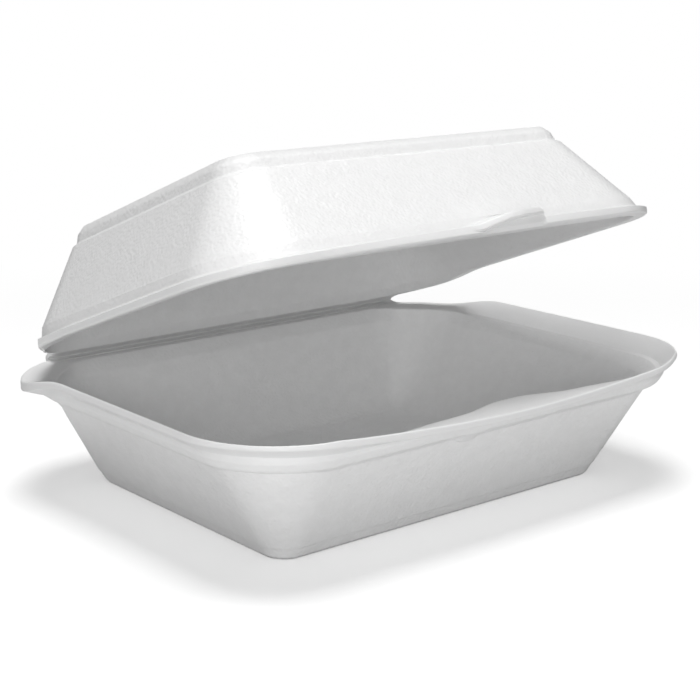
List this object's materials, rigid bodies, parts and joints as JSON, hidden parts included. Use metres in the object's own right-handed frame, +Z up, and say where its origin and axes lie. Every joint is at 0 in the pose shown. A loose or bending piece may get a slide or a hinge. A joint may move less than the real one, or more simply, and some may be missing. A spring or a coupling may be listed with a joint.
{
  "type": "foam clamshell container",
  "caption": "Hinged foam take-out clamshell: a rounded rectangular tray with a flared lip and front latch, and a stepped lid on a living hinge, standing partly open.",
  "frame": {"origin": "middle of the tray's outline at the underside of the foot, on the surface it stands on", "axes": "+X to the right along the hinge, seen from the front; +Y from the latch towards the hinge; +Z up"},
  "size_m": [0.2016, 0.1602, 0.1213],
  "materials": {
    "foam": "white foamed polystyrene sheet, fine grain, slight sheen",
    "pressed_foam": "the same sheet pressed thin at the fold"
  },
  "bodies": {
    "tray": {"base": "foam", "hinge_web": "pressed_foam"},
    "cover": {"lid": "foam"}
  },
  "joints": [
    {"name": "lid_hinge", "type": "hinge", "parent": "tray", "child": "cover", "pos_m": [0, 0.0796, 0.04], "axis": [-1, 0, 0], "range_deg": [-20.2, 159.8], "deforming": ["hinge_web"]}
  ]
}
